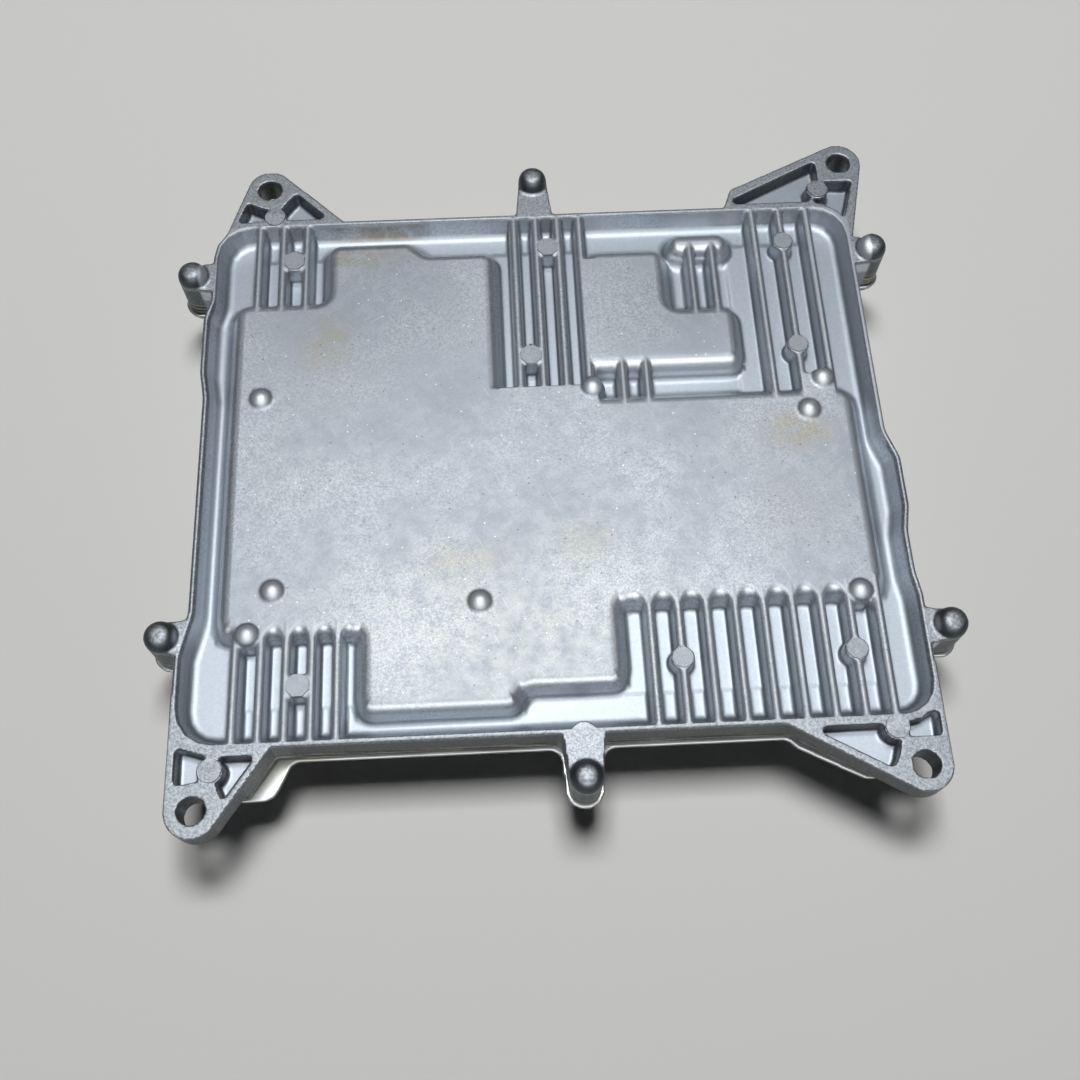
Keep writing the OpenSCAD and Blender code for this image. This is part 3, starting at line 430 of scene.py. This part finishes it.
def plainFinish(tree, inMm, spec):
    # one grain over a two-tone colour, for the plainer mouldings, coatings and cans
    grain = addNode(tree, "ShaderNodeTexNoise", {"Vector": inMm, "Scale": 1 / spec["grain"], "Detail": 3.0})
    cloud = addNode(tree, "ShaderNodeTexNoise", {"Vector": inMm, "Scale": 1 / spec["cloud"], "Detail": 2.0})
    both = addNode(tree, "ShaderNodeMix", {0: 0.5, 2: grain, 3: cloud})
    low, high = plainSpec["toneRange"]
    lighter = addNode(tree, "ShaderNodeMapRange", {0: both, 1: low, 2: high})
    colour = addLayer(tree, toLinear(spec["dark"]), toLinear(spec["light"]), lighter)
    (low, high), (least, most) = plainSpec["roughRange"], spec["roughness"]
    rough = addNode(tree, "ShaderNodeMapRange", {0: grain, 1: low, 2: high, 3: least, 4: most}, **soft)
    bump = addNode(tree, "ShaderNodeBump", {"Height": grain, "Strength": plainSpec["strength"],
                                            "Distance": spec["depth"] * mm})
    return {"Base Color": colour, "Roughness": rough, "Metallic": spec["metallic"], "Normal": bump}


# grain, cloud and depth in mm
finishes = {
    # moulded nylon with glass fibre: near black, a fine even spark-eroded texture
    "glassFilledNylon": {"dark": "17181a", "light": "242629", "roughness": (0.42, 0.6), "metallic": 0.0,
                         "grain": 0.35, "cloud": 9.0, "depth": 0.02},
    # zinc-plated steel: grey with a slight blue cast and dull handling marks
    "zincPlatedSteel": {"dark": "80858a", "light": "a9afb4", "roughness": (0.28, 0.45), "metallic": 1.0,
                        "grain": 0.6, "cloud": 3.0, "depth": 0.01},
    # tin-plated brass: pale silver with a warm cast
    "tinPlatedBrass": {"dark": "b9ad8e", "light": "d8cfb6", "roughness": (0.22, 0.36), "metallic": 1.0,
                       "grain": 0.3, "cloud": 2.0, "depth": 0.004},
    # silicone bead: dark, soft and dull
    "siliconeRubber": {"dark": "1d1f20", "light": "2c2e30", "roughness": (0.6, 0.75), "metallic": 0.0,
                       "grain": 0.5, "cloud": 6.0, "depth": 0.02},
    # gasket rubber: dark green and dull
    "gasketRubber": {"dark": "20362b", "light": "2b4637", "roughness": (0.6, 0.75), "metallic": 0.0,
                     "grain": 0.5, "cloud": 6.0, "depth": 0.02},
    # glass-epoxy board under green solder mask: a soft gloss with the weave just showing
    "epoxyLaminate": {"dark": "12432a", "light": "1c5a3a", "roughness": (0.25, 0.4), "metallic": 0.0,
                      "grain": 1.0, "cloud": 12.0, "depth": 0.01},
    # transfer-moulded epoxy: charcoal with a fine matt skin
    "mouldedEpoxy": {"dark": "1c1d1f", "light": "2a2b2e", "roughness": (0.5, 0.65), "metallic": 0.0,
                     "grain": 0.25, "cloud": 4.0, "depth": 0.01},
    # silicone gap filler: pale blue-grey and soft
    "gapFillerSilicone": {"dark": "74879a", "light": "8ea2b4", "roughness": (0.55, 0.7), "metallic": 0.0,
                          "grain": 0.7, "cloud": 5.0, "depth": 0.03},
    # drawn aluminium can: bright and smooth
    "drawnCan": {"dark": "b3b7bc", "light": "d0d3d7", "roughness": (0.2, 0.3), "metallic": 1.0,
                 "grain": 0.4, "cloud": 3.0, "depth": 0.004},
    # pressed ferrite: dark grey, slightly granular
    "pressedFerrite": {"dark": "2e2f31", "light": "45474a", "roughness": (0.45, 0.6), "metallic": 0.0,
                       "grain": 0.4, "cloud": 3.0, "depth": 0.03},
    # fired ceramic: tan with a slight gloss
    "firedCeramic": {"dark": "8b7653", "light": "ab9670", "roughness": (0.35, 0.5), "metallic": 0.0,
                     "grain": 0.3, "cloud": 2.0, "depth": 0.01},
    # sensor body: off-white moulding
    "whiteMoulding": {"dark": "b5b4ab", "light": "cfcec6", "roughness": (0.45, 0.6), "metallic": 0.0,
                      "grain": 0.3, "cloud": 4.0, "depth": 0.01},
}
castMaterial = makeMaterial("dieCastAluminium", dieCastAluminium)
sheetMaterial = makeMaterial("drawnAluminiumSheet", drawnAluminiumSheet)
plain = {name: makeMaterial(name, plainFinish, spec) for name, spec in finishes.items()}

nodeFinish = {
    "cover_seal": "siliconeRubber", "cover_screws": "zincPlatedSteel",
    "connector_header": "glassFilledNylon", "header_seal": "gasketRubber",
    "left_pins": "tinPlatedBrass", "middle_pins": "tinPlatedBrass",
    "right_pins": "tinPlatedBrass", "circuit_board": "epoxyLaminate", "board_screws": "zincPlatedSteel",
    "thermal_pads": "gapFillerSilicone", "microcontroller": "mouldedEpoxy", "flash_memory": "mouldedEpoxy",
    "crystal": "drawnCan", "power_supply_chip": "mouldedEpoxy", "boost_inductor": "pressedFerrite",
    "supply_choke": "pressedFerrite", "buffer_capacitors": "drawnCan", "injector_drivers": "mouldedEpoxy",
    "ignition_drivers": "mouldedEpoxy", "throttle_bridge": "mouldedEpoxy", "valve_drivers": "mouldedEpoxy",
    "bus_transceivers": "mouldedEpoxy", "pressure_sensor": "whiteMoulding",
    "ceramic_capacitors": "firedCeramic", "vent_plug": "glassFilledNylon"}
for name, finish in nodeFinish.items():
    nodes[name].data.materials.clear()
    nodes[name].data.materials.append(plain[finish])
print("materials made")


# Forms that the casting has beyond its solids: shoulders, round channel ends and mends

# broad shoulders on the front sides of the raised fields, mm, in sections of (outwards, height)
shoulder = {
    "start": -1.95, "round": 3.2, "lean": 0.75, "foot": 1.5, "top": 27.99, "steps": 8,
    # the section's corners below the floor and inside the wall
    "buried": 21.7, "inside": ((-1.4, 21.7), (-1.4, 25.5), (-3.15, 26.5), (-3.15, 27.99)),
    # how squarely a side faces the front where its shoulder begins and where it is full
    "facing": (0.1, 0.8),
    # point inside the wall that the section shrinks to elsewhere
    "core": (-0.9, 24.6),
    # reach of the section round outer corners, and what is left of the radius in inner ones
    "open": 9.0, "tight": 0.3,
    # outlines of the plateau and the island, as (x, y, radius)
    "fields": (((-83.3, -46.5, 4), (-48.3, -46.5, 3.2), (-48.3, -67.3, 3.5), (-11.5, -67.3, 3.2),
                (-8, -62.6, 3.2), (15.8, -62.6, 3.5), (15.8, -41.5, 3.2), (82.3, -41.5, 3.5),
                (82.3, 15.8, 4.5), (-11.9, 15.8, 3.2), (-11.9, 63.6, 3.5), (-30.5, 63.6, 3.2),
                (-35.5, 68, 3.2), (-58.3, 68, 3.5), (-58.3, 48.9, 3.2), (-83.3, 48.9, 4)),
               ((13.0, 25.4, 0.6), (54, 25.4, 3.5), (54, 42.9, 3.5), (35.7, 42.9, 3.2), (35.7, 62.6, 3.5),
                (14.2, 62.6, 3.2)))}


def skinRings(shape, rings, closed=False):
    # sides between rings of equally many points, with ends unless the rings run in a closed loop
    for first, second in zip(rings, rings[1:] + (rings[:1] if closed else [])):
        for j in range(len(first)):
            k = (j + 1) % len(first)
            shape.faces.new((first[j], second[j], second[k], first[k]))
    if not closed:
        shape.faces.new(rings[0])
        shape.faces.new(rings[-1][::-1])


def roundOutline(corners):
    # points of an outline with round corners, each with its outward direction and the room before it folds
    points = []
    for i, (x, y, radius) in enumerate(corners):
        here = Vector((x, y))
        into = (here - Vector(corners[i - 1][:2])).normalized()
        out = (Vector(corners[(i + 1) % len(corners)][:2]) - here).normalized()
        turn = -into.angle_signed(out)
        side = 1 if turn > 0 else -1
        normal = Vector((into.y, -into.x))
        middle = here - into * radius * math.tan(abs(turn) / 2) - normal * side * radius
        room = shoulder["open"] if side > 0 else radius - shoulder["tight"]
        for k in range(shoulder["steps"] + 1):
            way = Matrix.Rotation(turn * k / shoulder["steps"], 2) @ normal
            points.append((middle + way * side * radius, way, room))
    return points


def shoulderSide():
    # outer side of a shoulder from its top to its foot
    quarter = [math.radians(a) for a in range(0, 91, 10)]
    start, bend, foot = shoulder["start"], shoulder["round"], shoulder["foot"]
    end = start + bend + shoulder["lean"] + foot
    side = [(start + bend * math.sin(a), shoulder["top"] - bend * (1 - math.cos(a))) for a in quarter]
    return side + [(end - foot * math.cos(a), cast["floorZ"] + foot * (1 - math.sin(a))) for a in quarter]


def addShoulder(shape, corners):
    side = shoulderSide()
    section = side + [(side[-1][0], shoulder["buried"])] + list(shoulder["inside"])
    coreOut, coreZ = shoulder["core"]
    none, full = shoulder["facing"]
    rings = []
    for place, way, room in roundOutline(corners):
        share = min(max((-way.y - none) / (full - none), 0.0), 1.0)
        ring = []
        for out, height in section:
            spot = place + way * min(coreOut + share * (out - coreOut), room)
            ring.append(shape.verts.new(Vector((spot.x, spot.y, coreZ + share * (height - coreZ))) * mm))
        rings.append(ring)
    skinRings(shape, rings[::-1], closed=True)


# round ends of the channels in front of the plateau, mm: the x of the ribs in the row at each y, and for the
# channels beside a wall, half an end on the rib's side as (left, right, y, span)
arch = {"depth": 3.4, "back": 3.0, "rib": 1.15, "bite": 0.3, "steps": 12,
        "rows": {-46.5: (-78.6, -72.38, -66.16, -59.94, -53.72),
                 -41.5: (23, 30.1, 37.2, 44.3, 51.4, 58.5, 65.6, 72.7, 79.8)},
        "halves": ((-53.72, -47.5, -46.5, (-1, 0)), (15.9, 23, -41.5, (0, 1)))}


def addArch(shape, left, right, y, span=(-1, 1)):
    # follows the shoulder in the middle of a channel and bows forwards to the ribs at its sides
    middle = (left + right) / 2
    half = (right - left) / 2 - arch["rib"] + arch["bite"]
    turns = np.linspace(span[0], span[1], arch["steps"] + 1) * math.pi / 2
    rings = []
    for out, height in shoulderSide():
        bow = max(arch["depth"] - out, 0.0)
        places = [(middle + half * math.sin(a), y - out - bow * (1 - math.cos(a))) for a in turns]
        places += [(places[-1][0], y + arch["back"]), (places[0][0], y + arch["back"])]
        rings.append([shape.verts.new(Vector((px, py, height)) * mm) for px, py in places])
    skinRings(shape, rings)


# blocks that close a notch, as two corners, and a wall along a lug's slanted side, mm
mends = {"fills": (((-16, 12, 23.5), (-11, 19.3, 27.99)), ((12.6, 27.4, 23.5), (17.6, 30.6, 27.99))),
         "web": {"from": (-69.6, -76.4), "to": (-80.6, -92.1), "width": 1.9, "heights": (22.0, 27.99)}}


def addFill(shape, low, high):
    for vert in bmesh.ops.create_cube(shape, size=1.0)["verts"]:
        vert.co = Vector([(low[i] if vert.co[i] < 0 else high[i]) * mm for i in range(3)])


def addWeb(shape, spec):
    start, end = Vector(spec["from"]), Vector(spec["to"])
    way = (end - start).normalized()
    across = Vector((way.y, -way.x)) * spec["width"]
    corners = (start, end, end + across, start + across)
    rings = [[shape.verts.new(Vector((c.x, c.y, z)) * mm) for c in corners] for z in spec["heights"]]
    skinRings(shape, rings)


def addCastForms(mesh):
    shape = bmesh.new()
    shape.from_mesh(mesh)
    for corners in shoulder["fields"]:
        addShoulder(shape, corners)
    for y, ribs in arch["rows"].items():
        for left, right in zip(ribs, ribs[1:]):
            addArch(shape, left, right, y)
    for left, right, y, span in arch["halves"]:
        addArch(shape, left, right, y, span)
    for low, high in mends["fills"]:
        addFill(shape, low, high)
    addWeb(shape, mends["web"])
    shape.to_mesh(mesh)
    shape.free()


# Casting and cover with the soft edges that a mould and a press leave

softForms = {"heat_sink_housing": {"piece": "castHousing", "voxel": 0.4, "rounds": 3, "triangles": 195000},
             "sheet_cover": {"piece": "pressedCover", "voxel": 0.4, "rounds": 3, "triangles": 90000}}


def evaluated(obj):
    # the object's mesh with its modifiers applied
    graph = bpy.context.evaluated_depsgraph_get()
    mesh = bpy.data.meshes.new_from_object(obj.evaluated_get(graph))
    obj.modifiers.clear()
    old = obj.data
    obj.data = mesh
    bpy.data.meshes.remove(old)
    return mesh


def mergedCopy(node, name):
    mesh = nodes[node].data.copy()
    shape = bmesh.new()
    shape.from_mesh(mesh)
    bmesh.ops.remove_doubles(shape, verts=shape.verts, dist=0.001 * mm)
    shape.to_mesh(mesh)
    shape.free()
    mesh.materials.clear()
    return addObject(name, mesh)


def addBend(mesh):
    # mean curvature per mm at each vertex, above zero on outer edges and below it in corners
    count = len(mesh.vertices)
    places = np.empty(count * 3)
    mesh.vertices.foreach_get("co", places)
    places = places.reshape(-1, 3) / mm
    normals = np.empty(count * 3)
    mesh.vertices.foreach_get("normal", normals)
    normals = normals.reshape(-1, 3)
    ends = np.empty(len(mesh.edges) * 2, dtype=np.int64)
    mesh.edges.foreach_get("vertices", ends)
    first, second = ends.reshape(-1, 2).T
    step = places[second] - places[first]
    square = np.maximum((step ** 2).sum(1), 0.01)  # very short edges count as 0.1 mm
    degree = np.maximum(np.bincount(ends, minlength=count), 1)
    bend = np.bincount(first, -(step * normals[first]).sum(1) / square, count)
    bend += np.bincount(second, (step * normals[second]).sum(1) / square, count)
    bend /= degree
    for _ in range(2):
        around = np.bincount(first, bend[second], count) + np.bincount(second, bend[first], count)
        bend = 0.5 * bend + 0.5 * around / degree
    mesh.attributes.new("bend", "FLOAT", "POINT").data.foreach_set("value", bend.astype(np.float32))


def softForm(node, material):
    spec = softForms[node]
    piece = mergedCopy(node, spec["piece"])
    if node == "heat_sink_housing":
        addCastForms(piece.data)
    remesh = piece.modifiers.new("skin", "REMESH")
    remesh.mode = "VOXEL"
    remesh.voxel_size = spec["voxel"] * mm
    smooth = piece.modifiers.new("soften", "SMOOTH")
    smooth.factor = 0.5
    smooth.iterations = spec["rounds"]
    mesh = evaluated(piece)
    count = sum(len(p.vertices) - 2 for p in mesh.polygons)
    thin = piece.modifiers.new("thin", "DECIMATE")
    thin.ratio = min(1.0, spec["triangles"] / count)
    mesh = evaluated(piece)
    for polygon in mesh.polygons:
        polygon.use_smooth = True
    piece.modifiers.new("even", "WEIGHTED_NORMAL")
    mesh = evaluated(piece)
    mesh.name = spec["piece"]
    addBend(mesh)
    mesh.materials.append(material)
    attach(piece, "root")
    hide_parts(node)
    print(spec["piece"], count, "triangles thinned to", len(mesh.polygons))
    return piece


housing = softForm("heat_sink_housing", castMaterial)
cover = softForm("sheet_cover", sheetMaterial)


# Faces that the ejector pins left on the pads, with their small flash nubs

# sizes and places in mm, with the taper as the share of the size that is left at the top
ejectors = {
    "round": {"sides": 40, "size": 2.72, "rise": 0.5, "taper": 0.93,
              "at": ((69.55, 63.1), (69.55, 29.3), (30.1, -58.0), (72.7, -57.7))},
    "lug": {"sides": 40, "size": 3.0, "rise": 0.6, "taper": 0.93,
            "at": ((-73.4, 77.5), (81.7, 80.7), (-83.0, -80.6), (79.4, -77.5))},
    "bridge": {"sides": 8, "size": 3.2, "rise": 0.5, "taper": 0.93,
               "at": ((-67.5, 62.3), (3.2, 64.0), (-2.9, 29.0), (-63.05, -60.8))},
    "nub": {"sides": 6, "size": 0.5, "rise": 0.7, "taper": 0.55,
            "at": ((69.4, 66.0), (29.9, -55.2), (72.9, -60.4), (-81.2, -78.0), (-64.6, -58.6), (81.6, -76.0),
                   (-2.9, 32.2), (70.6, 31.9), (83.4, 82.8), (-75.2, 79.9))}}
pinTurn = math.radians(22.5)  # puts a flat of the eight-sided faces to the front


def pinFaceTree():
    # a low cone with bevelled sides on every point
    tree = bpy.data.node_groups.new("pinFaces", "GeometryNodeTree")
    tree.interface.new_socket("Geometry", in_out="INPUT", socket_type="NodeSocketGeometry")
    for label, kind in (("Sides", "NodeSocketInt"), ("Rise", "NodeSocketFloat"),
                        ("Taper", "NodeSocketFloat"), ("Size", "NodeSocketFloat"),
                        ("Finish", "NodeSocketMaterial")):
        tree.interface.new_socket(label, in_out="INPUT", socket_type=kind)
    tree.interface.new_socket("Geometry", in_out="OUTPUT", socket_type="NodeSocketGeometry")
    given = addNode(tree, "NodeGroupInput").node.outputs
    cone = addNode(tree, "GeometryNodeMeshCone", {"Vertices": given["Sides"], "Radius Top": given["Taper"],
                                                  "Radius Bottom": 1.0, "Depth": given["Rise"]}, "Mesh")
    spread = addNode(tree, "ShaderNodeCombineXYZ", {"X": given["Size"], "Y": given["Size"], "Z": 1.0})
    turn = addNode(tree, "ShaderNodeCombineXYZ", {"Z": pinTurn})
    points = addNode(tree, "GeometryNodeMeshToPoints", {"Mesh": given["Geometry"]})
    placed = addNode(tree, "GeometryNodeInstanceOnPoints", {"Points": points, "Instance": cone,
                                                            "Rotation": turn, "Scale": spread})
    real = addNode(tree, "GeometryNodeRealizeInstances", {"Geometry": placed})
    dressed = addNode(tree, "GeometryNodeSetMaterial", {"Geometry": real, "Material": given["Finish"]})
    addNode(tree, "NodeGroupOutput", {"Geometry": dressed})
    return tree


def addPinFaces(tree, kind):
    spec = ejectors[kind]
    mesh = bpy.data.meshes.new(kind)
    low = cast["top"] - spec["rise"] / 2
    mesh.from_pydata([Vector((x, y, low)) * mm for x, y in spec["at"]], [], [])
    piece = addObject(kind + "PinFaces", mesh)
    modifier = piece.modifiers.new("faces", "NODES")
    modifier.node_group = tree
    values = {"Sides": spec["sides"], "Rise": spec["rise"] * mm, "Taper": spec["taper"],
              "Size": spec["size"] * mm, "Finish": castMaterial}
    for item in tree.interface.items_tree:
        if item.in_out == "INPUT" and item.name in values:
            modifier[item.identifier] = values[item.name]
    mesh = evaluated(piece)
    mesh.attributes.new("pad", "FLOAT", "POINT").data.foreach_set("value", [1.0] * len(mesh.vertices))
    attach(piece, "root")


faceTree = pinFaceTree()
for kind in ejectors:
    addPinFaces(faceTree, kind)
print("ejector faces set")
